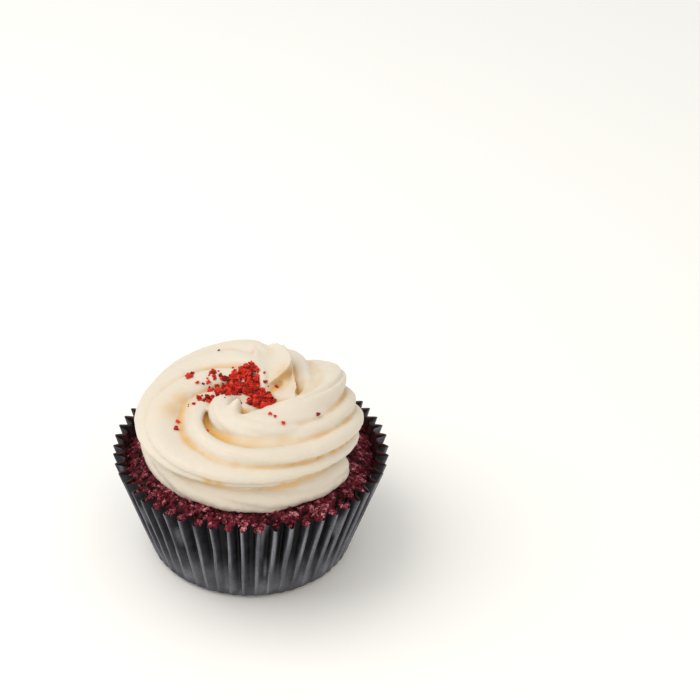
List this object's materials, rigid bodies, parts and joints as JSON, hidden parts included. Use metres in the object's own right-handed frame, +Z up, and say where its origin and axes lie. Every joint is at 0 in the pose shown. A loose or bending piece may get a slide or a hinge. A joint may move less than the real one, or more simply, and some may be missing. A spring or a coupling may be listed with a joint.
{
  "type": "cupcake",
  "caption": "Round cake baked in a pleated paper case, topped with a piped, star-ridged swirl of cream frosting and a loose heap of red crumbs.",
  "frame": {"origin": "middle of the paper case's flat base", "axes": "+Z up, out of the cake's top; -Y towards the side that the picture shows"},
  "size_m": [0.073, 0.073, 0.0503],
  "materials": {
    "paper": "charcoal greaseproof paper with a faint sheen",
    "cake": "dark red crumb, moist and open",
    "frosting": "soft cream cheese frosting, satin"
  },
  "bodies": {
    "root": {"paper_case": "paper", "cake": "cake", "frosting": "frosting"}
  },
  "joints": []
}
